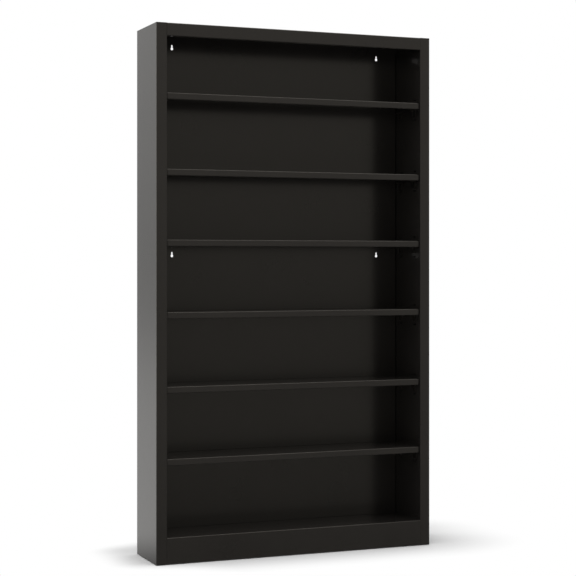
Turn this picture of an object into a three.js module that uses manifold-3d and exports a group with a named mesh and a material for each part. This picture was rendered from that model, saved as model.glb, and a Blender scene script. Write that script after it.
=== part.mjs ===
// Wall-mountable sheet-steel storage cabinet for discs: two box-section sides, a top panel with
// a front rail, a plinth, a recessed back panel with keyholes, and adjustable pan shelves on clips.
// Millimetres. +Z is up, the front faces -Y, and the origin is on the floor under the middle.

import * as THREE from 'three';
import { mergeVertices } from 'three/addons/utils/BufferGeometryUtils.js';
import Module from 'manifold-3d';

const wasm = await Module();
wasm.setup();

// Overall size
const height = 1320;
const width = 743;
const depth = 165;

// Sheet, folds and the gap between pieces that are fitted into each other
const sheet = 0.9;
const bendRadius = 2;
const bendSteps = 4;
const fitGap = 0.3;

// Front frame
const stileWidth = 27;
const topRailHeight = 31.6;
const plinthHeight = 65.8;

// Gap between the two rear edges of each box-section side
const rearSeam = 5;

// Returns of the top rail and the plinth
const railReturn = 15;
const railUpturn = 8;
const plinthTopReturn = 14;
const plinthFootReturn = 20;

// End tabs that screw to the inner walls
const topTabHeight = 26;
const topTabSetback = 24;
const plinthTabDepth = 18;
const plinthTabInset = 5;

// Back panel: a tray, its rim turned to the rear, its sheet set in from the rear edges
const backRecess = 21.5;

// Keyholes for screws with a 3 mm shank and a 6 mm head
const keyholeSide = 85.7;
const keyholeDrop = 43.2;
const keyholeSpacing = 524;
const keyholeHead = 6.8;
const keyholeSlot = 3.4;
const keyholeRise = 8;
const keyholeSteps = 16;

// Adjustable shelves, the top one first: their places up the opening between plinth and top rail
const shelfTopShares = [0.8874, 0.7354, 0.5940, 0.4491, 0.3004, 0.1561];
const shelfLip = 16;
const shelfHem = 10;
const shelfRecess = 5.4;
const shelfEndGap = 0.6;
const shelfRearGap = 1.5;

// Shelf clips and their slots
const clipWidth = 14;
const clipSheet = 1.2;
const clipLedge = 12;
const clipHook = 6;
const clipLeg = 16;
const clipInset = 28;
const slotHeight = 4.4;
const slotPitch = 25.4;
const slotsEachWay = 1;

// Pan-head self-tapping screws
const screwShank = 3.3;
const screwHole = 3.9;
const screwHead = 7;
const screwCrown = 4.4;
const screwHeadHeight = 2.4;
const screwLength = 8;
const screwSteps = 16;
const topScrewInset = 50;
const shelfScrewInset = 40;
const backScrewInset = 90;
const backScrewRows = ['lower', 'middle', 'upper'];

// Press-in glides
const glideHeight = 1.5;
const glideWidth = 14;
const glideStem = 5;
const glideStemHeight = 5;
const glideHole = 5.8;
const glideInset = 42;
const glideSteps = 16;

// How far a cutting shape runs past the sheet that it cuts
const overrun = 2;

// Faces and levels that several pieces share
const outerX = width / 2;
const wallX = outerX - stileWidth;
const tabX = wallX - fitGap;
const frontY = -depth / 2;
const rearY = depth / 2;
const backY = rearY - backRecess;
const underTop = height - sheet;
const railFoot = height - topRailHeight;
const lowerWebTop = plinthHeight - sheet;
const shelfFrontY = frontY + shelfRecess;
const shelfRearY = backY - shelfRearGap;
const shelfTops = shelfTopShares.map((share) => plinthHeight + share * (railFoot - plinthHeight));

const sides = [{ word: 'left', side: -1 }, { word: 'right', side: 1 }];

const coat = () => new THREE.MeshStandardMaterial({ color: 0x2e2b29, roughness: 0.42, metalness: 0 });
const clipCoat = () => new THREE.MeshStandardMaterial({ color: 0x1c1b1a, roughness: 0.5, metalness: 0 });
const blackOxide = () => new THREE.MeshStandardMaterial({ color: 0x141414, roughness: 0.35, metalness: 1 });
const nylon = () => new THREE.MeshStandardMaterial({ color: 0x191919, roughness: 0.6, metalness: 0 });

const tower = new THREE.Group();

// Names a solid and puts it in the tower
function add(name, body, material) {
  const cut = body.getMesh();
  const indexed = new THREE.BufferGeometry();
  indexed.setAttribute('position', new THREE.BufferAttribute(cut.vertProperties, 3));
  indexed.setIndex(new THREE.BufferAttribute(cut.triVerts, 1));
  const geometry = indexed.toNonIndexed();
  geometry.computeVertexNormals();
  const mesh = new THREE.Mesh(geometry, material);
  mesh.name = name;
  tower.add(mesh);
}

// Turns a closed geometry into a solid that can be cut and joined
function solid(geometry) {
  geometry.deleteAttribute('normal');
  geometry.deleteAttribute('uv');
  const merged = mergeVertices(geometry);
  const vertProperties = new Float32Array(merged.attributes.position.array);
  const triVerts = new Uint32Array(merged.index.array);
  return new wasm.Manifold(new wasm.Mesh({ numProp: 3, vertProperties, triVerts }));
}

// A block between two corners
function block(low, high) {
  const size = high.map((value, axis) => value - low[axis]);
  const centre = high.map((value, axis) => (value + low[axis]) / 2);
  const geometry = new THREE.BoxGeometry(...size);
  geometry.translate(...centre);
  return solid(geometry);
}

// A round bar along z that stands on the given point
function bar(diameter, length, steps, at) {
  const geometry = new THREE.CylinderGeometry(diameter / 2, diameter / 2, length, steps);
  geometry.rotateX(Math.PI / 2);
  geometry.translate(at.x, at.y, at.z + length / 2);
  return solid(geometry);
}

function leftOf(direction) {
  return new THREE.Vector2(-direction.y, direction.x);
}

// One face of a folded sheet. The path gives the corners of the sheet's right-hand face, and shift
// moves the face to the left of it. Every fold is square, with its outside at the bend radius.
function foldedFace(path, shift) {
  const points = path.map(([x, y]) => new THREE.Vector2(x, y));
  return points.flatMap((point, index) => {
    const entering = points[index - 1] && point.clone().sub(points[index - 1]).normalize();
    const leaving = points[index + 1] && points[index + 1].clone().sub(point).normalize();
    if (!entering || !leaving) {
      return [point.clone().addScaledVector(leftOf(entering ?? leaving), shift)];
    }
    const turnsLeft = entering.cross(leaving) > 0;
    const radius = turnsLeft ? bendRadius - shift : bendRadius - sheet + shift;
    const corner = point.clone();
    corner.addScaledVector(leftOf(entering), shift);
    corner.addScaledVector(leftOf(leaving), shift);
    const centre = corner.addScaledVector(entering, -radius).addScaledVector(leaving, radius);
    return Array.from({ length: bendSteps + 1 }, (_, step) => {
      const angle = (step / bendSteps) * (Math.PI / 2);
      const spot = centre.clone().addScaledVector(entering, radius * Math.sin(angle));
      return spot.addScaledVector(leaving, -radius * Math.cos(angle));
    });
  });
}

// The outline of a folded sheet
function foldedOutline(path) {
  return new THREE.Shape([...foldedFace(path, 0), ...foldedFace(path, sheet).reverse()]);
}

// An outline drawn front-to-back and up, run from one x to another
function runAlongX(outline, fromX, toX) {
  const geometry = new THREE.ExtrudeGeometry(outline, { depth: toX - fromX, bevelEnabled: false });
  const across = new THREE.Vector3(0, 1, 0);
  const up = new THREE.Vector3(0, 0, 1);
  const along = new THREE.Vector3(1, 0, 0);
  geometry.applyMatrix4(new THREE.Matrix4().makeBasis(across, up, along));
  geometry.translate(fromX, 0, 0);
  return solid(geometry);
}

// A round hole along x for a screw, through both sheets at a wall
function screwHoleAt(x, y, z) {
  const length = 2 * (sheet + overrun);
  const geometry = new THREE.CylinderGeometry(screwHole / 2, screwHole / 2, length, screwSteps);
  geometry.rotateZ(Math.PI / 2);
  geometry.translate(x, y, z);
  return solid(geometry);
}

// Where the shelf clips hook in, from front to back and up
const clipRows = [
  { row: 'front', y: shelfFrontY + clipInset },
  { row: 'rear', y: shelfRearY - clipInset },
];
const ledgeTops = shelfTops.map((top) => top - shelfLip - fitGap);

// Where the screws go on each side
const plinthScrews = [
  { name: 'plinth_screw', y: frontY + plinthTabDepth / 2, z: plinthHeight / 2 },
];
const topScrews = [
  { name: 'top_screw_front', y: frontY + topScrewInset, z: underTop - topTabHeight / 2 },
  { name: 'top_screw_rear', y: backY - topScrewInset, z: underTop - topTabHeight / 2 },
];
const shelfScrews = [
  { name: 'bottom_shelf_screw_front', y: frontY + shelfScrewInset, z: lowerWebTop - shelfLip / 2 },
  { name: 'bottom_shelf_screw_rear', y: backY - shelfScrewInset, z: lowerWebTop - shelfLip / 2 },
];
const backScrews = backScrewRows.map((row, index) => {
  const share = index / (backScrewRows.length - 1);
  const run = height - 2 * backScrewInset;
  return { name: `back_screw_${row}`, y: (backY + rearY) / 2, z: backScrewInset + share * run };
});
const wallScrews = [...plinthScrews, ...topScrews, ...shelfScrews, ...backScrews];

// Side panel, drawn for the right: one sheet folded round the front, with slots for the clips
function sidePanel() {
  const edge = (stileWidth - rearSeam) / 2;
  const outline = foldedOutline([
    [wallX + edge, rearY],
    [wallX, rearY],
    [wallX, frontY],
    [outerX, frontY],
    [outerX, rearY],
    [outerX - edge, rearY],
  ]);
  const run = underTop - glideHeight;
  const geometry = new THREE.ExtrudeGeometry(outline, { depth: run, bevelEnabled: false });
  geometry.translate(0, 0, glideHeight);
  let body = solid(geometry);
  const half = clipWidth / 2 + fitGap;
  for (const ledgeTop of ledgeTops) {
    for (let place = -slotsEachWay; place <= slotsEachWay; place += 1) {
      const floor = ledgeTop - clipSheet - fitGap + place * slotPitch;
      for (const { y } of clipRows) {
        const low = [wallX - overrun, y - half, floor];
        const high = [wallX + sheet + overrun, y + half, floor + slotHeight];
        body = body.subtract(block(low, high));
      }
    }
  }
  for (const { y, z } of wallScrews) {
    body = body.subtract(screwHoleAt(wallX + sheet / 2, y, z));
  }
  return body;
}

const rightSide = sidePanel();
add('left_side_panel', rightSide.mirror([1, 0, 0]), coat());
add('right_side_panel', rightSide, coat());

// Top panel: the sheet covers both sides, its front rail fits between the stiles, and a tab at
// each end screws to the inner wall
function topPanel() {
  const rail = runAlongX(foldedOutline([
    [rearY, height],
    [frontY, height],
    [frontY, railFoot],
    [frontY + railReturn, railFoot],
    [frontY + railReturn, railFoot + railUpturn],
  ]), -tabX, tabX);
  const cover = new THREE.Shape();
  cover.moveTo(tabX, rearY);
  cover.lineTo(tabX, frontY);
  cover.lineTo(outerX - bendRadius, frontY);
  cover.absarc(outerX - bendRadius, frontY + bendRadius, bendRadius, -Math.PI / 2, 0);
  cover.lineTo(outerX, rearY);
  const wing = new THREE.ExtrudeGeometry(cover, {
    depth: sheet,
    bevelEnabled: false,
    curveSegments: bendSteps,
  });
  wing.translate(0, 0, underTop);
  const tabFront = frontY + topTabSetback;
  let end = block([tabX - sheet, tabFront, underTop - topTabHeight], [tabX, backY - fitGap, height]);
  for (const { y, z } of topScrews) {
    end = end.subtract(screwHoleAt(tabX - sheet / 2, y, z));
  }
  end = end.add(solid(wing));
  return rail.add(end).add(end.mirror([1, 0, 0]));
}

add('top_panel', topPanel(), coat());

// The glides' places, each in the middle of the return that holds it
const glideX = wallX - glideInset;
const glideRows = [
  { row: 'front', y: frontY + plinthFootReturn / 2 },
  { row: 'rear', y: (backY + rearY) / 2 },
];

// The hole for a glide's stem
function glideSeat(side, y) {
  const at = { x: side * glideX, y, z: glideHeight - overrun };
  return bar(glideHole, 2 * overrun + sheet, glideSteps, at);
}

// Plinth: front plate with a return over the bottom shelf, one at the floor, and a tab at each end
const plinthTabTop = plinthHeight - bendRadius - plinthTabInset;

function plinth() {
  let body = runAlongX(foldedOutline([
    [frontY + plinthTopReturn, plinthHeight],
    [frontY, plinthHeight],
    [frontY, glideHeight],
    [frontY + plinthFootReturn, glideHeight],
  ]), -tabX, tabX);
  const low = [tabX - sheet, frontY + sheet / 2, glideHeight + plinthTabInset];
  let tab = block(low, [tabX, frontY + plinthTabDepth, plinthTabTop]);
  for (const { y, z } of plinthScrews) {
    tab = tab.subtract(screwHoleAt(tabX - sheet / 2, y, z));
  }
  body = body.add(tab).add(tab.mirror([1, 0, 0]));
  for (const { side } of sides) {
    body = body.subtract(glideSeat(side, glideRows[0].y));
  }
  return body;
}

add('front_plinth', plinth(), coat());

// Keyhole: a round hole for the screw's head, and a narrow slot above it for its shank
function keyhole(x, z) {
  const slotHalf = keyholeSlot / 2;
  const headRadius = keyholeHead / 2;
  const join = Math.asin(slotHalf / headRadius);
  const outline = new THREE.Shape();
  outline.absarc(0, 0, headRadius, Math.PI / 2 + join, 2.5 * Math.PI - join);
  outline.lineTo(slotHalf, keyholeRise);
  outline.absarc(0, keyholeRise, slotHalf, 0, Math.PI);
  const geometry = new THREE.ExtrudeGeometry(outline, {
    depth: sheet + 2 * overrun,
    bevelEnabled: false,
    curveSegments: keyholeSteps,
  });
  geometry.rotateX(Math.PI / 2);
  geometry.translate(x, backY + sheet + overrun, z);
  return solid(geometry);
}

// Back panel: a tray between the inner walls, its rim turned to the rear
function backPanel() {
  const top = underTop - fitGap;
  const rimRear = rearY - sheet;
  let body = block([-tabX, backY, glideHeight], [tabX, rimRear, top]);
  body = body.subtract(block(
    [-tabX + sheet, backY + sheet, glideHeight + sheet],
    [tabX - sheet, rimRear + overrun, top - sheet],
  ));
  const upper = height - keyholeDrop;
  for (const { side } of sides) {
    for (const z of [upper, upper - keyholeSpacing]) {
      body = body.subtract(keyhole(side * (outerX - keyholeSide), z));
    }
    for (const { y, z } of backScrews) {
      body = body.subtract(screwHoleAt(side * (tabX - sheet / 2), y, z));
    }
    body = body.subtract(glideSeat(side, glideRows[1].y));
  }
  return body;
}

add('back_panel', backPanel(), coat());

// A shelf pan: a sheet with its edges turned down on all four sides. The path goes round the outside
// of the pan from the foot of its rear lip, over the top and down the front.
function shelfPan(path, endX) {
  const foot = path[0][1];
  const inside = foldedFace(path, sheet);
  const mouth = [inside[inside.length - 1], inside[0]];
  const below = mouth.map((point) => new THREE.Vector2(point.x, foot - overrun));
  const whole = runAlongX(new THREE.Shape(foldedFace(path, 0)), -endX, endX);
  const hollow = runAlongX(new THREE.Shape([...inside, ...below]), sheet - endX, endX - sheet);
  return whole.subtract(hollow);
}

// Bottom shelf: its front edge lies under the plinth's return, its end lips screw to the walls,
// and its front corners are notched round the plinth's tabs
function bottomShelf() {
  const front = frontY + sheet + fitGap;
  const rear = backY - fitGap;
  const foot = lowerWebTop - shelfLip;
  let pan = shelfPan([
    [rear, foot],
    [rear, lowerWebTop],
    [front, lowerWebTop],
    [front, foot],
  ], tabX);
  const notch = block(
    [tabX - sheet - fitGap, front - overrun, foot - overrun],
    [tabX + overrun, frontY + plinthTabDepth + fitGap, plinthTabTop + fitGap],
  );
  pan = pan.subtract(notch).subtract(notch.mirror([1, 0, 0]));
  for (const { side } of sides) {
    for (const { y, z } of shelfScrews) {
      pan = pan.subtract(screwHoleAt(side * (tabX - sheet / 2), y, z));
    }
  }
  return pan;
}

add('bottom_shelf', bottomShelf(), coat());

// Adjustable shelf: a pan that rests on four clips, its front lip hemmed at the foot
function adjustableShelf(top) {
  const foot = top - shelfLip;
  return shelfPan([
    [shelfRearY, foot],
    [shelfRearY, top],
    [shelfFrontY, top],
    [shelfFrontY, foot],
    [shelfFrontY + shelfHem, foot],
  ], wallX - shelfEndGap);
}

shelfTops.forEach((top, index) => {
  add(`shelf_${index + 1}`, adjustableShelf(top), coat());
});

// Shelf clip, drawn for the right: a ledge with a leg on the wall, and a tongue through the slot
// that hooks up behind it
function clip(ledgeTop, y) {
  const legX = -fitGap - clipSheet;
  const hookX = sheet + fitGap;
  const outline = new THREE.Shape([
    new THREE.Vector2(hookX, 0),
    new THREE.Vector2(-clipLedge, 0),
    new THREE.Vector2(-clipLedge, -clipSheet),
    new THREE.Vector2(legX, -clipSheet),
    new THREE.Vector2(legX, -clipLeg),
    new THREE.Vector2(-fitGap, -clipLeg),
    new THREE.Vector2(-fitGap, -clipSheet),
    new THREE.Vector2(hookX + clipSheet, -clipSheet),
    new THREE.Vector2(hookX + clipSheet, clipHook),
    new THREE.Vector2(hookX, clipHook),
  ]);
  const geometry = new THREE.ExtrudeGeometry(outline, { depth: clipWidth, bevelEnabled: false });
  geometry.rotateX(Math.PI / 2);
  geometry.translate(wallX, y + clipWidth / 2, ledgeTop);
  return solid(geometry);
}

ledgeTops.forEach((ledgeTop, index) => {
  for (const { row, y } of clipRows) {
    const body = clip(ledgeTop, y);
    add(`shelf_${index + 1}_clip_${row}_left`, body.mirror([1, 0, 0]), clipCoat());
    add(`shelf_${index + 1}_clip_${row}_right`, body, clipCoat());
  }
});

// Pan-head screw, drawn for the right: its head bears on the tab and its shank goes into the wall
function screw(y, z) {
  const geometry = new THREE.LatheGeometry([
    new THREE.Vector2(0, -screwHeadHeight),
    new THREE.Vector2(screwCrown / 2, -screwHeadHeight),
    new THREE.Vector2(screwHead / 2, -screwHeadHeight / 2),
    new THREE.Vector2(screwHead / 2, 0),
    new THREE.Vector2(screwShank / 2, 0),
    new THREE.Vector2(screwShank / 2, screwLength),
    new THREE.Vector2(0, screwLength),
  ], screwSteps);
  geometry.rotateZ(-Math.PI / 2);
  geometry.translate(tabX - sheet, y, z);
  return solid(geometry);
}

for (const { name, y, z } of wallScrews) {
  const body = screw(y, z);
  add(`${name}_left`, body.mirror([1, 0, 0]), blackOxide());
  add(`${name}_right`, body, blackOxide());
}

// Glide: a disc on the floor with a stem pressed up through the return
for (const { row, y } of glideRows) {
  for (const { word, side } of sides) {
    const at = { x: side * glideX, y, z: 0 };
    const disc = bar(glideWidth, glideHeight, glideSteps, at);
    const stem = bar(glideStem, glideHeight + glideStemHeight, glideSteps, at);
    add(`glide_${row}_${word}`, disc.add(stem), nylon());
  }
}

export default tower;
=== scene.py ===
import math

import bmesh
import bpy
from mathutils import Matrix, Vector


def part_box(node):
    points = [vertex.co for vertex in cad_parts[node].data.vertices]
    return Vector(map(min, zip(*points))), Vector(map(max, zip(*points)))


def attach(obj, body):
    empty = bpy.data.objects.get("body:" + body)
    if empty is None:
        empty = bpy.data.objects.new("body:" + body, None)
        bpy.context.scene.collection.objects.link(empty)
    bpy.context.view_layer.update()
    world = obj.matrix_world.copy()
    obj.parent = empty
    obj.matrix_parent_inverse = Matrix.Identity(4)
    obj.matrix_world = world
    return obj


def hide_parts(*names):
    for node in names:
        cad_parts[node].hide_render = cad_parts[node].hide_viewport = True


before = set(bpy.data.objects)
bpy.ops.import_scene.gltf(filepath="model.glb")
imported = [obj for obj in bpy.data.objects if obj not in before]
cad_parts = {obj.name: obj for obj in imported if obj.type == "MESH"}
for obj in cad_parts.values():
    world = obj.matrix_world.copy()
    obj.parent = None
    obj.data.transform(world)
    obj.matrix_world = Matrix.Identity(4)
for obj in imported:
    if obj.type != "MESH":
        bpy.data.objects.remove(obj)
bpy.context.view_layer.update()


# Side panels: each is one sheet of steel, folded round the front into a box-section upright
# with a seam down the rear. The inner wall is punched with slots for the shelf clips and holes
# for the assembly screws. Black satin powder coat, like the rest of the cabinet.
MM = 0.001
sheet = 0.9 * MM
fold_radius = 2.0 * MM
fold_steps = 8
tight_fold_radius = 1.0 * MM
edge_round = 0.12 * MM
edge_angle = math.radians(40)
rear_seam = 5.0 * MM
near_double = 0.003 * MM
side_low, side_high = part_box("right_side_panel")

# The coat's colour, its roughness and how fine its grain is
coat_look = ((0.0154, 0.0139, 0.0129), 0.20, 900.0)

# Sheets are drawn at their middle, so a fold is drawn half a sheet tighter than its outside
half_sheet = sheet / 2
middle_fold = fold_radius - half_sheet
tight_middle_fold = tight_fold_radius - half_sheet


def powder_coat(name, colour, roughness, grain):
    """Satin black powder coat: a fine orange-peel skin, uneven gloss and a little depth of tone."""
    tone_drift, gloss_drift = 0.10, 0.02
    coat = bpy.data.materials.new(name)
    coat.use_nodes = True
    nodes, links = coat.node_tree.nodes, coat.node_tree.links
    shader = nodes["Principled BSDF"]
    place = nodes.new("ShaderNodeTexCoord")
    shader.inputs["IOR"].default_value = 1.5
    shader.inputs["Specular Tint"].default_value = (1.0, 0.93, 0.81, 1.0)

    # Tone drifts slowly over each sheet, as the coat lies thicker or thinner
    drift = nodes.new("ShaderNodeTexNoise")
    drift.inputs["Scale"].default_value = 7.0
    drift.inputs["Detail"].default_value = 3.0
    tone = nodes.new("ShaderNodeValToRGB")
    tone.color_ramp.elements[0].position = 0.30
    tone.color_ramp.elements[0].color = (*[(1 - tone_drift) * part for part in colour], 1.0)
    tone.color_ramp.elements[1].position = 0.70
    tone.color_ramp.elements[1].color = (*[(1 + tone_drift) * part for part in colour], 1.0)
    links.new(place.outputs["Object"], drift.inputs["Vector"])
    links.new(drift.outputs["Fac"], tone.inputs["Fac"])
    links.new(tone.outputs["Color"], shader.inputs["Base Color"])

    # Gloss varies a little from speck to speck
    speck = nodes.new("ShaderNodeTexNoise")
    speck.inputs["Scale"].default_value = 420.0
    speck.inputs["Detail"].default_value = 2.0
    gloss = nodes.new("ShaderNodeMapRange")
    gloss.inputs["From Min"].default_value = 0.3
    gloss.inputs["From Max"].default_value = 0.7
    gloss.inputs["To Min"].default_value = roughness - gloss_drift
    gloss.inputs["To Max"].default_value = roughness + gloss_drift
    links.new(place.outputs["Object"], speck.inputs["Vector"])
    links.new(speck.outputs["Fac"], gloss.inputs["Value"])
    links.new(gloss.outputs["Result"], shader.inputs["Roughness"])

    # The orange peel of the cured powder, and under it the grain
    peel = nodes.new("ShaderNodeTexNoise")
    peel.inputs["Scale"].default_value = grain
    peel.inputs["Detail"].default_value = 4.0
    peel.inputs["Roughness"].default_value = 0.6
    skin = nodes.new("ShaderNodeBump")
    skin.inputs["Strength"].default_value = 0.25
    skin.inputs["Distance"].default_value = 0.03 * MM
    links.new(place.outputs["Object"], peel.inputs["Vector"])
    links.new(peel.outputs["Fac"], skin.inputs["Height"])
    links.new(skin.outputs["Normal"], shader.inputs["Normal"])
    return coat


panel_coat = powder_coat("panel_coat", *coat_look)


def new_tree(name, sizes):
    """An empty tree with a piece going in and out, and its named sizes."""
    tree = bpy.data.node_groups.new(name, "GeometryNodeTree")
    tree.interface.new_socket("Piece", in_out="INPUT", socket_type="NodeSocketGeometry")
    for label, kind in sizes.items():
        tree.interface.new_socket(label, in_out="INPUT", socket_type="NodeSocket" + kind)
    tree.interface.new_socket("Piece", in_out="OUTPUT", socket_type="NodeSocketGeometry")
    return tree, tree.nodes.new("NodeGroupInput"), tree.nodes.new("NodeGroupOutput")


def sheet_folder():
    """Folds a sheet's profile, drawn as a line of corners with a fold radius at each, and runs
    it along the piece."""
    tree, given, result = new_tree("fold_sheet", {
        "Fold Steps": "Int", "Run": "Vector", "Coat": "Material"})
    nodes, links = tree.nodes, tree.links
    line = nodes.new("GeometryNodeMeshToCurve")
    radius = nodes.new("GeometryNodeInputNamedAttribute")
    radius.inputs["Name"].default_value = "fold"
    fold = nodes.new("GeometryNodeFilletCurve")
    fold.mode = "POLY"
    profile = nodes.new("GeometryNodeCurveToMesh")
    run = nodes.new("GeometryNodeExtrudeMesh")
    run.mode = "EDGES"
    real = nodes.new("GeometryNodeRealizeInstances")
    coat = nodes.new("GeometryNodeSetMaterial")
    links.new(given.outputs["Piece"], line.inputs["Mesh"])
    links.new(line.outputs["Curve"], fold.inputs["Curve"])
    links.new(radius.outputs["Attribute"], fold.inputs["Radius"])
    links.new(given.outputs["Fold Steps"], fold.inputs["Count"])
    links.new(fold.outputs["Curve"], profile.inputs["Curve"])
    links.new(profile.outputs["Mesh"], run.inputs["Mesh"])
    links.new(given.outputs["Run"], run.inputs["Offset"])
    links.new(run.outputs["Mesh"], real.inputs["Geometry"])
    links.new(real.outputs["Geometry"], coat.inputs["Geometry"])
    links.new(given.outputs["Coat"], coat.inputs["Material"])
    links.new(coat.outputs["Geometry"], result.inputs["Piece"])
    return tree


def sheet_punch():
    """Punches one shape of hole through a piece at every place of a set of points."""
    tree, given, result = new_tree("punch_sheet", {
        "Places": "Object", "Punch": "Object", "Coat": "Material"})
    nodes, links = tree.nodes, tree.links
    places = nodes.new("GeometryNodeObjectInfo")
    punch = nodes.new("GeometryNodeObjectInfo")
    punch.inputs["As Instance"].default_value = True
    strike = nodes.new("GeometryNodeInstanceOnPoints")
    real = nodes.new("GeometryNodeRealizeInstances")
    cut = nodes.new("GeometryNodeMeshBoolean")
    cut.operation = "DIFFERENCE"
    cut.solver = "EXACT"
    coat = nodes.new("GeometryNodeSetMaterial")
    links.new(given.outputs["Places"], places.inputs["Object"])
    links.new(given.outputs["Punch"], punch.inputs["Object"])
    links.new(places.outputs["Geometry"], strike.inputs["Points"])
    links.new(punch.outputs["Geometry"], strike.inputs["Instance"])
    links.new(strike.outputs["Instances"], real.inputs["Geometry"])
    links.new(given.outputs["Piece"], cut.inputs["Mesh 1"])
    links.new(real.outputs["Geometry"], cut.inputs["Mesh 2"])
    links.new(cut.outputs["Mesh"], coat.inputs["Geometry"])
    links.new(given.outputs["Coat"], coat.inputs["Material"])
    links.new(coat.outputs["Geometry"], result.inputs["Piece"])
    return tree


fold_sheet = sheet_folder()
punch_sheet = sheet_punch()


def blank(name, points, edges=(), faces=()):
    """A piece in the making, from its points, edges and faces."""
    mesh = bpy.data.meshes.new(name)
    mesh.from_pydata([Vector(point) for point in points], edges, faces)
    piece = bpy.data.objects.new(name, mesh)
    bpy.context.scene.collection.objects.link(piece)
    return piece


def drawn_piece(name, bm):
    """A piece from a mesh that is already drawn, with its faces turned outwards."""
    bmesh.ops.recalc_face_normals(bm, faces=bm.faces)
    mesh = bpy.data.meshes.new(name)
    bm.to_mesh(mesh)
    bm.free()
    piece = bpy.data.objects.new(name, mesh)
    bpy.context.scene.collection.objects.link(piece)
    return piece


def folded_line(name, corners, radii):
    """The line of a sheet's profile, each corner with the radius of its fold."""
    piece = blank(name, corners, edges=[(k, k + 1) for k in range(len(corners) - 1)])
    fold = piece.data.attributes.new("fold", "FLOAT", "POINT")
    for index, radius in enumerate(radii):
        fold.data[index].value = radius
    return piece


def apply_tree(piece, tree, sizes):
    """Puts a tree on a piece and sets its named sizes."""
    step = piece.modifiers.new(tree.name, "NODES")
    step.node_group = tree
    for item in tree.interface.items_tree:
        if item.in_out == "INPUT" and item.name in sizes:
            step[item.identifier] = sizes[item.name]


def thicken(piece, thickness):
    """Gives a drawn mid-surface the thickness of its sheet."""
    step = piece.modifiers.new("sheet", "SOLIDIFY")
    step.thickness = thickness
    step.offset = 0
    step.use_even_offset = True


def soften(piece, radius):
    """Takes the sharpness off cut edges, as the coat does, and keeps flat faces flat."""
    ease = piece.modifiers.new("edge", "BEVEL")
    ease.width = radius
    ease.segments = 2
    ease.limit_method = "ANGLE"
    ease.angle_limit = edge_angle
    piece.modifiers.new("flat", "WEIGHTED_NORMAL").keep_sharp = True


def bake(piece):
    """Turns a piece and its steps into one plain mesh."""
    bpy.context.view_layer.update()
    graph = bpy.context.evaluated_depsgraph_get()
    made = bpy.data.meshes.new_from_object(piece.evaluated_get(graph), depsgraph=graph)
    made.name = piece.name
    piece.modifiers.clear()
    piece.data = made
    return piece


def scrap(*tools):
    """Puts away the shapes that only helped to make a piece."""
    for tool in tools:
        bpy.data.objects.remove(tool)


def clean_cuts(piece):
    """Merges the near-double points that punching and cutting leave."""
    bm = bmesh.new()
    bm.from_mesh(piece.data)
    bmesh.ops.remove_doubles(bm, verts=bm.verts, dist=near_double)
    bmesh.ops.dissolve_degenerate(bm, edges=bm.edges, dist=near_double)
    bm.to_mesh(piece.data)
    bm.free()


def shade_smooth(piece):
    """Shades a piece's faces as one rounded skin."""
    for face in piece.data.polygons:
        face.use_smooth = True


def finish_sheet(piece, body, slot, *nodes):
    """Cleans and eases the edges, bakes the piece and puts it in the place of its CAD nodes."""
    clean_cuts(piece)
    shade_smooth(piece)
    soften(piece, edge_round)
    bake(piece)
    piece.data.set_sharp_from_angle(angle=edge_angle)
    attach(piece, body)
    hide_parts(*nodes)


def prism(name, outline, axis, length):
    """A closed outline run along x, y or z as a punch or a bar, centred on its own place."""
    bm = bmesh.new()
    half = length / 2
    order = {"x": lambda a, b, c: (c, a, b), "y": lambda a, b, c: (a, c, b),
             "z": lambda a, b, c: (a, b, c)}[axis]
    rings = [[bm.verts.new(order(a, b, end)) for a, b in outline] for end in (-half, half)]
    bm.faces.new(rings[0])
    bm.faces.new(rings[1])
    for index in range(len(outline)):
        after = (index + 1) % len(outline)
        bm.faces.new((rings[0][index], rings[0][after], rings[1][after], rings[1][index]))
    return drawn_piece(name, bm)


def round_hole(diameter, steps=32):
    """The outline of a round punch, with a flat at its foot."""
    turn = 2 * math.pi / steps
    radius = diameter / 2
    return [(radius * math.cos((k + 0.5) * turn), radius * math.sin((k + 0.5) * turn))
            for k in range(steps)]


def rounded_slot(across, high, corner, steps=5):
    """The outline of a slot punch with rounded corners, standing on its lower edge."""
    outline = []
    for k, (sx, sz) in enumerate(((1, 0), (1, 1), (-1, 1), (-1, 0))):
        middle = (sx * (across / 2 - corner), corner if sz == 0 else high - corner)
        for step in range(steps + 1):
            angle = math.radians(90 * (k - 1 + step / steps))
            outline.append((middle[0] + corner * math.cos(angle),
                            middle[1] + corner * math.sin(angle)))
    return outline


# Where the clips hook in and the screws go, read from the clips and the screws themselves
clip_names = [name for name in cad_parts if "_clip_" in name]
screw_names = [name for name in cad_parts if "_screw_" in name]
slot_width, slot_height, slot_corner = 14.6 * MM, 4.4 * MM, 0.6 * MM
slot_pitch, slot_clearance = 25.4 * MM, 0.3 * MM
slot_rows = (-1, 0, 1)
clip_sheet = 1.2 * MM
clip_leg = 16.0 * MM
screw_hole = 3.9 * MM
punch_length = 6.0 * MM


def middle_of(name):
    """The middle of a CAD node's box."""
    low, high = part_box(name)
    return (low + high) / 2


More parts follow.
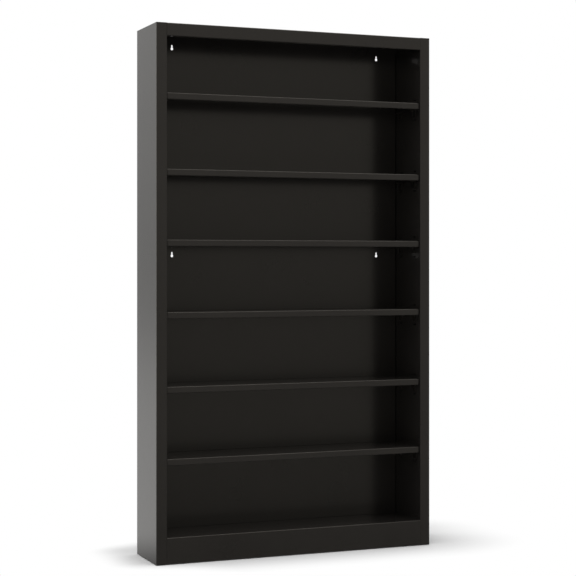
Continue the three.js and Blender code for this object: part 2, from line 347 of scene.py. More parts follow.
def side_panel(word, side):
    """One folded upright with its slots and screw holes; side is -1 for left and 1 for right."""
    wall, outer = side_low.x + half_sheet, side_high.x - half_sheet
    front, rear = side_low.y + half_sheet, side_high.y - half_sheet
    lip = (side_high.x - side_low.x - rear_seam) / 2
    corners = [(side_low.x + lip, rear), (wall, rear), (wall, front),
               (outer, front), (outer, rear), (side_high.x - lip, rear)]
    piece = folded_line(word + "_upright", [(side * x, y, side_low.z) for x, y in corners],
                        (0.0, middle_fold, tight_middle_fold, middle_fold, middle_fold, 0.0))
    apply_tree(piece, fold_sheet, {
        "Fold Steps": fold_steps,
        "Run": (0.0, 0.0, side_high.z - side_low.z), "Coat": panel_coat})
    thicken(piece, sheet)

    slots = []
    for clip in clip_names:
        if clip.endswith(word):
            low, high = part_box(clip)
            foot = low.z + clip_leg - clip_sheet - slot_clearance
            slots += [(side * wall, (low.y + high.y) / 2, foot + step * slot_pitch)
                      for step in slot_rows]
    slot_places = blank("clip_slot_places", slots)
    slot_punch = prism("clip_slot_punch",
                       rounded_slot(slot_width, slot_height, slot_corner), "x", punch_length)
    holes = []
    for screw in screw_names:
        if screw.endswith(word):
            spot = middle_of(screw)
            holes.append((side * wall, spot.y, spot.z))
    hole_places = blank("screw_hole_places", holes)
    hole_punch = prism("screw_hole_punch", round_hole(screw_hole), "x", punch_length)
    apply_tree(piece, punch_sheet, {
        "Places": slot_places, "Punch": slot_punch, "Coat": panel_coat})
    apply_tree(piece, punch_sheet, {
        "Places": hole_places, "Punch": hole_punch, "Coat": panel_coat})
    bake(piece)
    scrap(slot_places, slot_punch, hole_places, hole_punch)
    finish_sheet(piece, "root", "panel_coat", word + "_side_panel")


side_panel("left", -1)
side_panel("right", 1)


# Plinth: the front plate under the lowest bay, folded back over the bottom shelf at its top and
# along the floor at its foot. A welded tab at each end takes a screw into the inner wall.
plinth_low, plinth_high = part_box("front_plinth")
shelf_return = 14.0 * MM
foot_return = 20.0 * MM
plinth_tab_depth = 18.0 * MM
plinth_tab_inset = 5.0 * MM
flush_gap = 0.1 * MM
glide_hole = 5.8 * MM

# The tabs' outer faces. The bottom shelf's lips and the back's rim reach as far out.
tab_x = plinth_high.x


def block(name, low, high):
    """A plain bar between two corners, to be joined to a sheet."""
    foot = [(low[0], low[1]), (high[0], low[1]), (high[0], high[1]), (low[0], high[1])]
    piece = prism(name, foot, "z", high[2] - low[2])
    piece.data.transform(Matrix.Translation((0, 0, (low[2] + high[2]) / 2)))
    return piece


def combine(piece, operation, tools):
    """Joins tools to a piece as one closed body, or cuts them out of it, and bakes it."""
    for tool in tools:
        step = piece.modifiers.new("combine", "BOOLEAN")
        step.operation = operation
        step.solver = "EXACT"
        step.object = tool
    bake(piece)
    scrap(*tools)


def weld_tabs(piece, front_foot, rear_head):
    """Welds an upright tab to each end of a piece, between two places along y and z."""
    tabs = []
    for side in (-1, 1):
        ends = sorted((side * tab_x, side * (tab_x - sheet)))
        tabs.append(block("tab", (ends[0], *front_foot), (ends[1], *rear_head)))
    combine(piece, "UNION", tabs)


def punch_holes(piece, outline, axis, places):
    """Punches one outline through a finished sheet at the given places."""
    spots = blank("hole_places", places)
    tool = prism("hole_punch", outline, axis, punch_length)
    apply_tree(piece, punch_sheet, {"Places": spots, "Punch": tool, "Coat": panel_coat})
    bake(piece)
    scrap(spots, tool)


def punch_screw_holes(piece, panel, end_sheet):
    """Punches a panel's screw holes through the sheets at its ends, end_sheet to each side."""
    spots = [middle_of(name) for name in screw_names if name.startswith(panel + "_screw")]
    punch_holes(piece, round_hole(screw_hole), "x",
                [(math.copysign(end_sheet, spot.x), spot.y, spot.z) for spot in spots])


def punch_glide_holes(piece, row, level):
    """Punches the holes for a row of glides through the sheet at a level."""
    spots = [middle_of(f"glide_{row}_{word}") for word in ("left", "right")]
    punch_holes(piece, round_hole(glide_hole), "z", [(spot.x, spot.y, level) for spot in spots])


def front_plinth():
    """The front plate with both returns and its tabs, punched for screws and front glides."""
    front, foot = plinth_low.y + half_sheet, plinth_low.z + half_sheet
    top = plinth_high.z - half_sheet
    corners = [(plinth_low.y + shelf_return, top), (front, top),
               (front, foot), (plinth_low.y + foot_return, foot)]
    end_x = side_low.x - flush_gap
    piece = folded_line("plinth_plate", [(-end_x, y, z) for y, z in corners],
                        (0.0, middle_fold, middle_fold, 0.0))
    apply_tree(piece, fold_sheet, {
        "Fold Steps": fold_steps,
        "Run": (2 * end_x, 0.0, 0.0), "Coat": panel_coat})
    thicken(piece, sheet)
    weld_tabs(piece, (front, plinth_low.z + plinth_tab_inset),
              (plinth_low.y + plinth_tab_depth,
               plinth_high.z - fold_radius - plinth_tab_inset))
    punch_screw_holes(piece, "plinth", tab_x - half_sheet)
    punch_glide_holes(piece, "front", foot)
    finish_sheet(piece, "root", "panel_coat", "front_plinth")


front_plinth()


# Bottom shelf: a fixed pan at the plinth's top, its edges turned down all round. Its front edge
# lies under the plinth's return, and two screws go through each end lip into the inner wall.
floor_low, floor_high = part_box("bottom_shelf")
tab_clearance = 0.3 * MM


def flange(*legs):
    """The folds of a sheet's edge, as steps outward and down: each leg is an outside length."""
    out, down = 0.0, 0.0
    heading = (1.0, 0.0)
    points = []
    for index, leg in enumerate(legs):
        inward = (-heading[1], heading[0])
        middle = (out + middle_fold * inward[0], down + middle_fold * inward[1])
        for step in range(1, fold_steps + 1):
            angle = math.pi / 2 * step / fold_steps
            points.append(tuple(
                middle[k] + middle_fold * (heading[k] * math.sin(angle)
                                          - inward[k] * math.cos(angle)) for k in (0, 1)))
        heading = inward
        straight = leg - fold_radius - (fold_radius if index < len(legs) - 1 else 0.0)
        out = points[-1][0] + heading[0] * straight
        down = points[-1][1] + heading[1] * straight
        points.append((out, down))
    return points


def folded_blank(name, outline, flanges, place, coat=panel_coat):
    """A flat blank with some of its edges folded down. Each flange names the edge's first
    corner and its folds, and place turns flat x, y and depth into the piece's own directions."""
    bm = bmesh.new()
    web = [bm.verts.new(place(x, y, 0.0)) for x, y in outline]
    bm.faces.new(web)
    count = len(outline)
    for first, folds in flanges:
        start, end = Vector(outline[first]), Vector(outline[(first + 1) % count])
        along = (end - start).normalized()
        outward = Vector((along.y, -along.x))
        before = (web[first], web[(first + 1) % count])
        for out, down in folds:
            row = tuple(bm.verts.new(place(*(spot + outward * out), down))
                        for spot in (start, end))
            bm.faces.new((before[1], before[0], row[0], row[1]))
            before = row
    piece = drawn_piece(name, bm)
    piece.data.materials.append(coat)
    thicken(piece, sheet)
    return piece


def level_at(z):
    """Puts a flat blank level at height z, its edges turned down."""
    return lambda x, y, down: (x, y, z - down)


def bottom_shelf():
    """The fixed pan. Its lip goes all round but for the stretches beside the plinth's tabs."""
    side_x = floor_high.x - fold_radius
    front, rear = floor_low.y + fold_radius, floor_high.y - fold_radius
    notch = plinth_low.y + plinth_tab_depth + tab_clearance
    outline = [(-side_x, front), (side_x, front), (side_x, notch), (side_x, rear),
               (-side_x, rear), (-side_x, notch)]
    lip = flange(floor_high.z - floor_low.z)
    piece = folded_blank("bottom_pan", outline, [(0, lip), (2, lip), (3, lip), (4, lip)],
                         level_at(floor_high.z - half_sheet))
    bake(piece)
    punch_screw_holes(piece, "bottom_shelf", floor_high.x - half_sheet)
    finish_sheet(piece, "root", "panel_coat", "bottom_shelf")


bottom_shelf()


# Top panel: the sheet covers both sides. Its front rail is folded down between the stiles, back
# under and up again, and a welded tab at each end is screwed to the inner wall.
top_low, top_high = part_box("top_panel")
rail_return = 15.0 * MM
rail_upturn = 8.0 * MM
top_tab_height = 26.0 * MM
top_tab_setback = 24.0 * MM
fit_gap = 0.3 * MM
back_low, back_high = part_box("back_panel")


def top_panel():
    """The top sheet, its front corners rounded like the uprights, with the rail and its tabs."""
    front, rear = top_low.y, top_high.y
    fold_line = front + fold_radius
    corner = [(top_high.x - fold_radius * (1 - math.sin(angle)),
               front + fold_radius * (1 - math.cos(angle)))
              for angle in (math.pi / 2 * step / fold_steps for step in range(fold_steps + 1))]
    end_x = side_low.x - flush_gap
    outline = ([(-end_x, fold_line), (end_x, fold_line), (end_x, front)] + corner
               + [(top_high.x, rear), (-top_high.x, rear)]
               + [(-x, y) for x, y in reversed(corner)] + [(-end_x, front)])
    rail = flange(top_high.z - top_low.z, rail_return, rail_upturn)
    piece = folded_blank("top_cover", outline, [(0, rail)], level_at(top_high.z - half_sheet))
    weld_tabs(piece, (front + top_tab_setback, side_high.z - top_tab_height),
              (back_low.y - fit_gap, top_high.z - half_sheet))
    punch_screw_holes(piece, "top", tab_x - half_sheet)
    finish_sheet(piece, "root", "panel_coat", "top_panel")


top_panel()


# Back panel: a shallow tray set in from the rear edges, its rim turned to the rear and screwed
# to the inner walls. Four keyholes hang the cabinet on wall screws.
keyhole_head, keyhole_slot, keyhole_rise = 6.8 * MM, 3.4 * MM, 8.0 * MM
keyhole_side, keyhole_drop, keyhole_spacing = 85.7 * MM, 43.2 * MM, 524.0 * MM


def keyhole_outline(steps=24):
    """A round hole for the wall screw's head and a narrow slot above it for its shank."""
    head, shank = keyhole_head / 2, keyhole_slot / 2
    join = math.asin(shank / head)
    first, last = math.pi / 2 + join, 2.5 * math.pi - join
    outline = [(head * math.cos(a), head * math.sin(a)) for a in
               (first + (last - first) * k / steps for k in range(steps + 1))]
    arc = [math.pi * k / steps for k in range(steps + 1)]
    return outline + [(shank * math.cos(a), keyhole_rise + shank * math.sin(a)) for a in arc]


def back_panel():
    """The tray with its rim all round, punched for wall screws, side screws and rear glides."""
    web_y = back_low.y + half_sheet
    side_x = back_high.x - fold_radius
    low_z, high_z = back_low.z + fold_radius, back_high.z - fold_radius
    outline = [(-side_x, low_z), (side_x, low_z), (side_x, high_z), (-side_x, high_z)]
    rim = flange(back_high.y - back_low.y)
    piece = folded_blank("back_tray", outline, [(k, rim) for k in range(4)],
                         lambda x, z, deep: (x, web_y + deep, z))
    bake(piece)
    upper = top_high.z - keyhole_drop
    punch_holes(piece, keyhole_outline(), "y",
                [(side * (top_high.x - keyhole_side), web_y, z)
                 for side in (-1, 1) for z in (upper, upper - keyhole_spacing)])
    punch_screw_holes(piece, "back", back_high.x - half_sheet)
    punch_glide_holes(piece, "rear", back_low.z + half_sheet)
    finish_sheet(piece, "root", "panel_coat", "back_panel")


back_panel()


# Assembly screws: sixteen pan-head self-tapping screws in black oxide, driven from inside
# through each tab, lip or rim into the inner wall.
screw_head, screw_crown, screw_head_height = 7.0 * MM, 4.4 * MM, 2.4 * MM
screw_rim = 0.12 * MM
crown_flat_share, dome_foot_share, dome_height_share = 0.55, 0.8, 0.55
screw_shank, screw_core, screw_length = 3.3 * MM, 2.5 * MM, 8.0 * MM
thread_pitch, thread_sharpness = 1.3 * MM, 2.2
thread_start, thread_end = 0.5 * MM, screw_length - 2.0 * MM
point_start = screw_length - 1.9 * MM
screw_around, dome_steps, thread_steps = 24, 6, 30
recess_wide, recess_thin, recess_deep = 1.9 * MM, 0.42 * MM, 1.5 * MM
recess_overrun, recess_foot_share = 0.1 * MM, 0.45
small_edge_angle = math.radians(35)


def black_oxide(name):
    """Blackened steel: dark and half glossy, with fine turning marks."""
    finish = bpy.data.materials.new(name)
    finish.use_nodes = True
    nodes, links = finish.node_tree.nodes, finish.node_tree.links
    shader = nodes["Principled BSDF"]
    shader.inputs["Metallic"].default_value = 1.0
    place = nodes.new("ShaderNodeTexCoord")
    cloud = nodes.new("ShaderNodeTexNoise")
    cloud.inputs["Scale"].default_value = 900.0
    cloud.inputs["Detail"].default_value = 3.0
    tone = nodes.new("ShaderNodeValToRGB")
    tone.color_ramp.elements[0].color = (0.012, 0.012, 0.013, 1.0)
    tone.color_ramp.elements[1].color = (0.045, 0.044, 0.043, 1.0)
    gloss = nodes.new("ShaderNodeMapRange")
    gloss.inputs["To Min"].default_value = 0.28
    gloss.inputs["To Max"].default_value = 0.46
    links.new(place.outputs["Object"], cloud.inputs["Vector"])
    links.new(cloud.outputs["Fac"], tone.inputs["Fac"])
    links.new(cloud.outputs["Fac"], gloss.inputs["Value"])
    links.new(tone.outputs["Color"], shader.inputs["Base Color"])
    links.new(gloss.outputs["Result"], shader.inputs["Roughness"])
    return finish


screw_black = black_oxide("screw_black")


def turned(name, rings, around, finish):
    """A round piece about the x axis. Each ring is its place along x and a radius, or a radius
    that changes with the angle round it; the first and last rings close to a point."""
    bm = bmesh.new()
    rows = []
    for along, radius in rings:
        if not callable(radius) and radius == 0.0:
            rows.append([bm.verts.new((along, 0.0, 0.0))])
            continue
        row = []
        for k in range(around):
            angle = 2 * math.pi * k / around
            r = radius(angle) if callable(radius) else radius
            row.append(bm.verts.new((along, r * math.cos(angle), r * math.sin(angle))))
        rows.append(row)
    for before, after in zip(rows, rows[1:]):
        for k in range(around):
            following = (k + 1) % around
            corners = [before[k % len(before)], after[k % len(after)],
                       after[following % len(after)], before[following % len(before)]]
            bm.faces.new(list(dict.fromkeys(corners)))
    piece = drawn_piece(name, bm)
    piece.data.materials.append(finish)
    return piece


def thread_at(along):
    """The thread's radius round the shank at one place along it."""
    def radius(angle):
        phase = (along / thread_pitch - angle / (2 * math.pi)) % 1.0
        ridge = max(0.0, 1.0 - abs(2 * phase - 1.0) * thread_sharpness)
        return (screw_core + (screw_shank - screw_core) * ridge) / 2
    return radius


def one_screw():
    """The screw along x: its head bears at zero and its point is on the right."""
    head_radius, crown_radius, core_radius = screw_head / 2, screw_crown / 2, screw_core / 2
    foot = crown_radius * dome_foot_share
    rings = [(-screw_head_height, 0.0), (-screw_head_height, crown_radius * crown_flat_share)]
    for step in range(dome_steps + 1):
        angle = math.pi / 2 * step / dome_steps
        drop = dome_height_share * screw_head_height * (1 - math.cos(angle))
        radius = foot + (head_radius - foot) * math.sin(angle)
        rings.append((-screw_head_height + drop, radius))
    rings += [(-screw_rim, head_radius), (0.0, head_radius - screw_rim), (0.0, core_radius)]
    for step in range(thread_steps + 1):
        along = thread_start + (thread_end - thread_start) * step / thread_steps
        rings.append((along, thread_at(along)))
    rings += [(point_start, core_radius), (screw_length, 0.0)]
    return turned("screw", rings, screw_around, screw_black)


def recess_blade(half_y, half_z):
    """One blade of the driver's cross: a bar that narrows into the head."""
    mouth = [(-half_y, -half_z), (half_y, -half_z), (half_y, half_z), (-half_y, half_z)]
    outer = -screw_head_height - recess_overrun
    bm = bmesh.new()
    rims = [[bm.verts.new((x, share * y, share * z)) for y, z in mouth]
            for x, share in ((outer, 1.0), (outer + recess_deep, recess_foot_share))]
    bm.faces.new(reversed(rims[0]))
    bm.faces.new(rims[1])
    for k in range(4):
        after = (k + 1) % 4
        bm.faces.new((rims[0][k], rims[0][after], rims[1][after], rims[1][k]))
    return drawn_piece("driver_blade", bm)


def set_out():
    """Sets one piece out at every place of a set of points, each with its own turn."""
    tree, given, result = new_tree("set_out", {"Places": "Object", "Finish": "Material"})
    nodes, links = tree.nodes, tree.links
    places = nodes.new("GeometryNodeObjectInfo")
    turn = nodes.new("GeometryNodeInputNamedAttribute")
    turn.data_type = "FLOAT_VECTOR"
    turn.inputs["Name"].default_value = "turn"
    rotate = nodes.new("FunctionNodeEulerToRotation")
    put = nodes.new("GeometryNodeInstanceOnPoints")
    real = nodes.new("GeometryNodeRealizeInstances")
    finish = nodes.new("GeometryNodeSetMaterial")
    links.new(given.outputs["Places"], places.inputs["Object"])
    links.new(places.outputs["Geometry"], put.inputs["Points"])
    links.new(given.outputs["Piece"], put.inputs["Instance"])
    links.new(turn.outputs["Attribute"], rotate.inputs["Euler"])
    links.new(rotate.outputs["Rotation"], put.inputs["Rotation"])
    links.new(put.outputs["Instances"], real.inputs["Geometry"])
    links.new(real.outputs["Geometry"], finish.inputs["Geometry"])
    links.new(given.outputs["Finish"], finish.inputs["Material"])
    links.new(finish.outputs["Geometry"], result.inputs["Piece"])
    return tree


set_out_tree = set_out()


def set_out_at(piece, places, turns, finish):
    """Repeats a small piece at its places and bakes them as one mesh."""
    spots = blank("places", places)
    turn = spots.data.attributes.new("turn", "FLOAT_VECTOR", "POINT")
    for index, angles in enumerate(turns):
        turn.data[index].vector = angles
    apply_tree(piece, set_out_tree, {"Places": spots, "Finish": finish})
    bake(piece)
    scrap(spots)


def finish_small(piece, body, slot, *nodes):
    """Smooths a small piece, keeps its edges and puts it in the place of its CAD nodes."""
    shade_smooth(piece)
    piece.data.set_sharp_from_angle(angle=small_edge_angle)
    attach(piece, body)
    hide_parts(*nodes)


def assembly_screws():
    """One screw with its cross recess, set out against every tab, lip and rim."""
    piece = one_screw()
    piece.name = "assembly_screws"
    blades = [recess_blade(recess_wide, recess_thin), recess_blade(recess_thin, recess_wide)]
    combine(piece, "DIFFERENCE", blades)
    clean_cuts(piece)
    spots = [middle_of(name) for name in screw_names]
    seat = tab_x - sheet
    set_out_at(piece, [(math.copysign(seat, spot.x), spot.y, spot.z) for spot in spots],
               [(0.0, 0.0, 0.0 if spot.x > 0 else math.pi) for spot in spots], screw_black)
    finish_small(piece, "root", "screw_black", *screw_names)


assembly_screws()


# Shelf clips: pressed steel, four to a shelf, each hooked through a slot in the inner wall. The
# ledge carries the shelf, the leg lies on the wall and the tongue hooks up behind it.
clip_width, clip_ledge, clip_hook = 14.0 * MM, 12.0 * MM, 6.0 * MM
clip_corner, hook_corner = 3.0 * MM, 1.5 * MM
clip_corner_steps, hook_corner_steps = 6, 4
clip_edge = 0.2 * MM
tolerance = 0.01 * MM
clip_coat = powder_coat("clip_coat", colour=(0.0130, 0.0120, 0.0105), roughness=0.42,
                        grain=1100.0)


def one_clip():
    """The clip's section run across its width, for the right-hand wall."""
    leg_x = -fit_gap - clip_sheet
    hook_x = sheet + fit_gap
    section = [(hook_x, 0.0), (-clip_ledge, 0.0), (-clip_ledge, -clip_sheet),
               (leg_x, -clip_sheet), (leg_x, -clip_leg), (-fit_gap, -clip_leg),
               (-fit_gap, -clip_sheet), (hook_x + clip_sheet, -clip_sheet),
               (hook_x + clip_sheet, clip_hook), (hook_x, clip_hook)]
    piece = prism("shelf_clips", section, "y", clip_width)
    bm = bmesh.new()
    bm.from_mesh(piece.data)

    # Round the corners of the ledge's front, of the leg's foot and of the hook's top
    for beyond, radius, steps in (
            (lambda spot: spot.x < tolerance - clip_ledge, clip_corner, clip_corner_steps),
            (lambda spot: spot.z < tolerance - clip_leg, clip_corner, clip_corner_steps),
            (lambda spot: spot.z > clip_hook - tolerance, hook_corner, hook_corner_steps)):
        corners = [edge for edge in bm.edges
                   if all(beyond(vert.co) for vert in edge.verts)
                   and abs(edge.verts[0].co.y - edge.verts[1].co.y) < tolerance]
        bmesh.ops.bevel(bm, geom=corners, offset=radius, segments=steps, profile=0.5,
                        affect="EDGES")
    bm.to_mesh(piece.data)
    bm.free()
    return piece


def shelf_clips():
    """One clip, eased and set out four to a shelf, turned round for the left-hand wall."""
    piece = one_clip()
    piece.data.materials.append(clip_coat)
    shade_smooth(piece)
    soften(piece, clip_edge)
    bake(piece)
    places, turns = [], []
    for name in clip_names:
        low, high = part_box(name)
        side = 1 if low.x > 0 else -1
        places.append((side * side_low.x, (low.y + high.y) / 2, low.z + clip_leg))
        turns.append((0.0, 0.0, 0.0 if side > 0 else math.pi))
    set_out_at(piece, places, turns, clip_coat)
    finish_small(piece, "root", "clip_coat", *clip_names)


shelf_clips()


# Adjustable shelves: six pans of the same sheet, open underneath. The front lip is returned
# inward at its foot, and each shelf rests loose on four clips and draws out to the front.
shelf_count = 6
shelf_hem = 10.0 * MM
shelf_coat = powder_coat("shelf_coat", *coat_look)


def adjustable_shelf(number):
    """One loose pan, numbered from the top, with a hemmed front lip."""
    node = f"shelf_{number}"
    low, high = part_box(node)
    side_x = high.x - fold_radius
    front, rear = low.y + fold_radius, high.y - fold_radius
    outline = [(-side_x, front), (side_x, front), (side_x, rear), (-side_x, rear)]
    deep = high.z - low.z
    lip, hemmed = flange(deep), flange(deep, shelf_hem)
    piece = folded_blank(f"shelf_pan_{number}", outline,
                         [(0, hemmed), (1, lip), (2, lip), (3, lip)],
                         level_at(high.z - half_sheet), shelf_coat)
    bake(piece)
    finish_sheet(piece, node + "_body", "shelf_coat", node)


for number in range(1, shelf_count + 1):
    adjustable_shelf(number)


# Glides: black nylon feet, each a disc on the floor with a barbed stem pressed up through the
# plinth's foot return or the back panel's rim.
glide_names = [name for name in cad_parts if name.startswith("glide_")]
glide_around = 40
disc_height, disc_rim_share = 1.5 * MM, 0.9

# The disc's edge as heights and shares of its radius, and the stem's barbs as heights and radii
disc_edge_shares = ((0.0, 0.82), (0.12 * MM, 0.93), (0.4 * MM, 1.0), (1.1 * MM, 1.0),
                    (1.4 * MM, 0.97))
stem_barbs = ((1.5 * MM, 2.4 * MM), (2.4 * MM, 2.4 * MM), (2.6 * MM, 2.8 * MM),
              (3.4 * MM, 2.4 * MM), (3.6 * MM, 2.7 * MM), (4.4 * MM, 2.3 * MM),
              (4.6 * MM, 2.5 * MM))
tip_length, tip_foot, tip_end = 0.5 * MM, 1.7 * MM, 1.1 * MM


def black_nylon(name):
    """Moulded nylon: dull, with a fine moulded grain."""
    finish = bpy.data.materials.new(name)
    finish.use_nodes = True
    nodes, links = finish.node_tree.nodes, finish.node_tree.links
    shader = nodes["Principled BSDF"]
    shader.inputs["IOR"].default_value = 1.53
    place = nodes.new("ShaderNodeTexCoord")
    grain = nodes.new("ShaderNodeTexNoise")
    grain.inputs["Scale"].default_value = 1500.0
    grain.inputs["Detail"].default_value = 3.0
    tone = nodes.new("ShaderNodeValToRGB")
    tone.color_ramp.elements[0].color = (0.008, 0.008, 0.008, 1.0)
    tone.color_ramp.elements[1].color = (0.014, 0.014, 0.0135, 1.0)
    gloss = nodes.new("ShaderNodeMapRange")
    gloss.inputs["To Min"].default_value = 0.5
    gloss.inputs["To Max"].default_value = 0.68
    skin = nodes.new("ShaderNodeBump")
    skin.inputs["Strength"].default_value = 0.3
    skin.inputs["Distance"].default_value = 0.05 * MM
    links.new(place.outputs["Object"], grain.inputs["Vector"])
    links.new(grain.outputs["Fac"], tone.inputs["Fac"])
    links.new(grain.outputs["Fac"], gloss.inputs["Value"])
    links.new(grain.outputs["Fac"], skin.inputs["Height"])
    links.new(tone.outputs["Color"], shader.inputs["Base Color"])
    links.new(gloss.outputs["Result"], shader.inputs["Roughness"])
    links.new(skin.outputs["Normal"], shader.inputs["Normal"])
    return finish


glide_nylon = black_nylon("glide_nylon")


def glides():
    """One glide is turned from the floor up and set out at its four places."""
    low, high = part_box(glide_names[0])
    disc_radius = (high.x - low.x) / 2
    top = high.z - low.z
    rings = [(0.0, 0.0)]
    rings += [(height, disc_radius * share) for height, share in disc_edge_shares]
    rings += [(disc_height, disc_radius * disc_rim_share), *stem_barbs]
    rings += [(top - tip_length, tip_foot), (top, tip_end), (top, 0.0)]
    piece = turned("glides", rings, glide_around, glide_nylon)
    spots = [middle_of(name) for name in glide_names]
    set_out_at(piece, [(spot.x, spot.y, low.z) for spot in spots],
               [(0.0, -math.pi / 2, 0.0)] * len(spots), glide_nylon)
    finish_small(piece, "root", "glide_nylon", *glide_names)


glides()


# Studio: a white floor that keeps the shadow by the cabinet's foot and runs out to plain white,
# a broad soft light overhead and a tall one from the left. The camera stands to the front left.
white = (1.0, 1.0, 1.0, 1.0)
paper_tone = (0.85, 0.85, 0.85, 1.0)
floor_reach = 30.0

# The shadow's place and reach on the floor. It fades sooner on the left than on the right, so
# two places across the floor each have a rate.
shadow_shift = (0.0, 0.05, 0.0)
shadow_stretch = (1.0, 1.3, 1.0)
shadow_reach = 0.24
shadow_rate = ((-0.5, 2.05), (-0.18, 0.80))

# How bright the coat mirrors the floor, by how far a point lies behind the cabinet, and the
# surroundings, by how high it is. Each pair is a place and its level, and room_turn blends the
# front of the surroundings into their rear.
floor_rearward = (-0.2, 0.98, 0.0)
front_floor_gloss = ((-2.5, 0.34), (-0.1, 0.25))
rear_floor_gloss = (0.5, 0.965)
far_floor_gloss = ((0.0, 1.0), (16.0, 0.65))
room_rearward = (-0.60, 0.80, 0.0)
room_turn = ((-0.35, 0.0), (0.45, 1.0))
front_room_gloss = ((-0.05, 0.375), (0.30, 0.515))
rear_room_gloss = ((0.0, 0.575), (0.35, 0.985))
room_matt_level = 0.28


def node_maker(nodes, links):
    """A short way to lay out nodes, which take numbers or the outputs of other nodes."""
    def put(kind, settings, *given, out=0):
        node = nodes.new(kind)
        for key, value in settings.items():
            setattr(node, key, value)
        for index, value in enumerate(given):
            if isinstance(value, bpy.types.NodeSocket):
                links.new(value, node.inputs[index])
            elif value is not None:
                node.inputs[index].default_value = value
        return node.outputs[out] if node.outputs else None
    return put


def ramp(put, value, start, end, shape="SMOOTHSTEP"):
    """Runs from one level to another. Start and end are each a value and its level."""
    return put("ShaderNodeMapRange", {"interpolation_type": shape},
               value, start[0], end[0], start[1], end[1])


def floor_white():
    """White paper: it takes the cabinet's shadow close by and runs out to plain white. In the
    gloss of the coat it is pale behind the cabinet and dim in front of it."""
    paper = bpy.data.materials.new("floor_white")
    paper.use_nodes = True
    nodes, links = paper.node_tree.nodes, paper.node_tree.links
    nodes.clear()
    put = node_maker(nodes, links)
    place = put("ShaderNodeTexCoord", {}, out="Object")
    ray = nodes.new("ShaderNodeLightPath").outputs

    def outside_foot(point, stretch):
        """How far a point lies outside a rectangle as large as the cabinet's foot."""
        size = put("ShaderNodeVectorMath", {"operation": "ABSOLUTE"}, point)
        beyond = put("ShaderNodeVectorMath", {"operation": "SUBTRACT"}, size,
                     (top_high.x, top_high.y, 0.0))
        clear = put("ShaderNodeVectorMath", {"operation": "MAXIMUM"}, beyond, (0.0, 0.0, 0.0))
        reach = put("ShaderNodeVectorMath", {"operation": "MULTIPLY"}, clear, stretch)
        return put("ShaderNodeVectorMath", {"operation": "LENGTH"}, reach, out="Value")

    # The shadow lies mostly behind the cabinet and to its right
    shadow = put("ShaderNodeVectorMath", {"operation": "SUBTRACT"}, place, shadow_shift)
    across = put("ShaderNodeSeparateXYZ", {}, place, out="X")
    rate = ramp(put, across, *shadow_rate)
    reach = put("ShaderNodeMath", {"operation": "MULTIPLY"},
                outside_foot(shadow, shadow_stretch), rate)
    fade = ramp(put, reach, (0.0, 0.0), (shadow_reach, 1.0))
    uncovered = put("ShaderNodeMath", {"operation": "GREATER_THAN"},
                    outside_foot(place, (1.0, 1.0, 1.0)), edge_round)

    behind = put("ShaderNodeVectorMath", {"operation": "DOT_PRODUCT"}, place, floor_rearward,
                 out="Value")
    front = ramp(put, behind, *front_floor_gloss)
    near = ramp(put, behind, (front_floor_gloss[1][0], front), rear_floor_gloss)
    far = ramp(put, behind, *far_floor_gloss)
    mirrored = put("ShaderNodeMath", {"operation": "MULTIPLY"}, near, far)

    matt = put("ShaderNodeBsdfDiffuse", {}, paper_tone)
    plain = put("ShaderNodeEmission", {}, white, 1.0)
    gloss = put("ShaderNodeEmission", {}, white, mirrored)
    open_floor = put("ShaderNodeMath", {"operation": "MULTIPLY"}, fade, uncovered)
    seen_by_camera = put("ShaderNodeMath", {"operation": "MULTIPLY"}, open_floor,
                         ray["Is Camera Ray"])
    shown = put("ShaderNodeMixShader", {}, seen_by_camera, matt, plain)
    through = put("ShaderNodeMath", {"operation": "MAXIMUM"}, ray["Is Glossy Ray"],
                  ray["Is Transmission Ray"])
    mixed = put("ShaderNodeMixShader", {}, through, shown, gloss)
    put("ShaderNodeOutputMaterial", {}, mixed)
    return paper


floor_corners = [(x * floor_reach, y * floor_reach, 0.0)
                 for x, y in ((-1, -1), (1, -1), (1, 1), (-1, 1))]
floor = blank("studio_floor", floor_corners, faces=[(0, 1, 2, 3)])
floor.data.materials.append(floor_white())


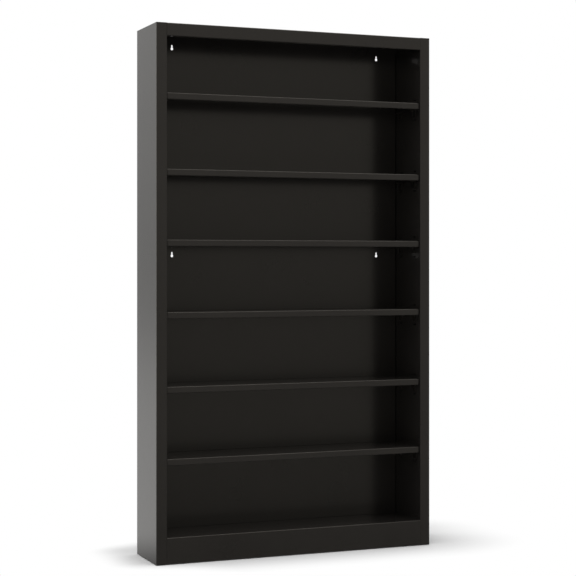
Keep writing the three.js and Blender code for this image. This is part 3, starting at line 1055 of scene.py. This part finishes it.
def surroundings():
    """White all round for the camera, and an even, low level for matt light. In gloss they are
    pale behind and to the left of the cabinet and dim in front, where the open studio is."""
    world = bpy.data.worlds.new("studio")
    bpy.context.scene.world = world
    world.use_nodes = True
    nodes, links = world.node_tree.nodes, world.node_tree.links
    nodes.clear()
    put = node_maker(nodes, links)
    ray = nodes.new("ShaderNodeLightPath").outputs
    place = put("ShaderNodeTexCoord", {}, out="Generated")
    facing = put("ShaderNodeVectorMath", {"operation": "DOT_PRODUCT"}, place, room_rearward,
                 out="Value")
    height = put("ShaderNodeSeparateXYZ", {}, place, out="Z")
    behind = ramp(put, facing, *room_turn)
    front = ramp(put, height, *front_room_gloss, "LINEAR")
    rear = ramp(put, height, *rear_room_gloss, "LINEAR")
    level = put("ShaderNodeMix", {"data_type": "FLOAT"}, behind, None, front, rear)
    seen = put("ShaderNodeBackground", {}, white, 1.0)
    matt = put("ShaderNodeBackground", {}, white, room_matt_level)
    gloss = put("ShaderNodeBackground", {}, white, level)
    lit = put("ShaderNodeMixShader", {}, ray["Is Diffuse Ray"], gloss, matt)
    mixed = put("ShaderNodeMixShader", {}, ray["Is Camera Ray"], lit, seen)
    put("ShaderNodeOutputWorld", {}, mixed)


surroundings()


def soft_light(name, place, aim, width, height, power):
    """A soft box of the given size at a place, turned to a point."""
    lamp = bpy.data.lights.new(name, "AREA")
    lamp.shape = "RECTANGLE"
    lamp.size = width
    lamp.size_y = height
    lamp.energy = power
    box = bpy.data.objects.new(name, lamp)
    box.location = place
    box.rotation_euler = (Vector(aim) - Vector(place)).to_track_quat("-Z", "Y").to_euler()
    box.visible_camera = False
    bpy.context.scene.collection.objects.link(box)


soft_light("top_light", place=(0.0, -0.5, 3.6), aim=(0.0, -0.5, 0.0),
           width=4.2, height=4.2, power=125.0)
soft_light("left_light", place=(-3.27, 1.35, 0.9), aim=(0.0, 0.0, 0.66),
           width=1.2, height=2.4, power=40.0)

camera_place = (-1.4894, -3.670, 0.7407)
camera_level, camera_turn = math.radians(90), math.radians(-22.2)
film_width, focal_length = 36.0, 96.5
film_shift = (-0.0010, -0.0475)
camera = bpy.data.objects.new("camera", bpy.data.cameras.new("camera"))
camera.location = camera_place
camera.rotation_euler = (camera_level, 0.0, camera_turn)
camera.data.sensor_width = film_width
camera.data.lens = focal_length
camera.data.shift_x, camera.data.shift_y = film_shift
bpy.context.scene.collection.objects.link(camera)
bpy.context.scene.camera = camera
bpy.context.scene.view_settings.view_transform = "Standard"
